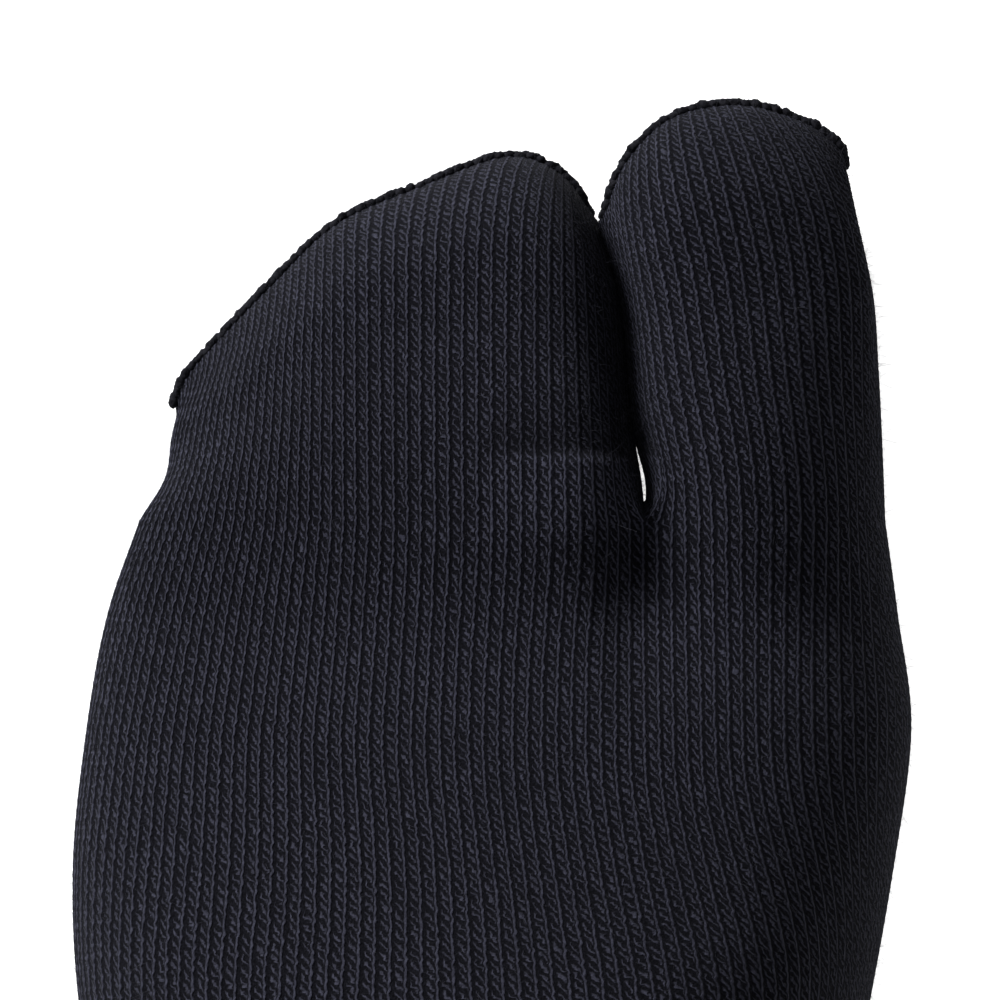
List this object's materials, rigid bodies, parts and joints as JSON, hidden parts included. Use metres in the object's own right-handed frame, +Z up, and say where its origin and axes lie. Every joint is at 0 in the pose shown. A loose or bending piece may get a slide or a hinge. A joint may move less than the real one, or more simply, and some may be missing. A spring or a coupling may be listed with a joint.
{
  "type": "tabi sock",
  "caption": "Left knitted tabi sock filled out as worn: open ribbed cuff, turned heel, and a closed pouch for the big toe beside a wider one for the other toes.",
  "frame": {"origin": "inside face of the sole, on the axis of the leg, where the wearer's foot stands in the sock", "axes": "+Z up the leg to the cuff, +Y along the foot to the toes, +X to the big toe's side"},
  "size_m": [0.1033, 0.264, 0.2064],
  "materials": {
    "navy_knit": "matt cotton plain knit, near-black navy",
    "navy_rib": "matt cotton one-and-one rib, near-black navy",
    "navy_seam": "matt linked seam in the same yarn"
  },
  "bodies": {
    "root": {"knit_body": "navy_knit", "cuff": "navy_rib", "four_toe_seam": "navy_seam", "big_toe_seam": "navy_seam"}
  },
  "joints": []
}
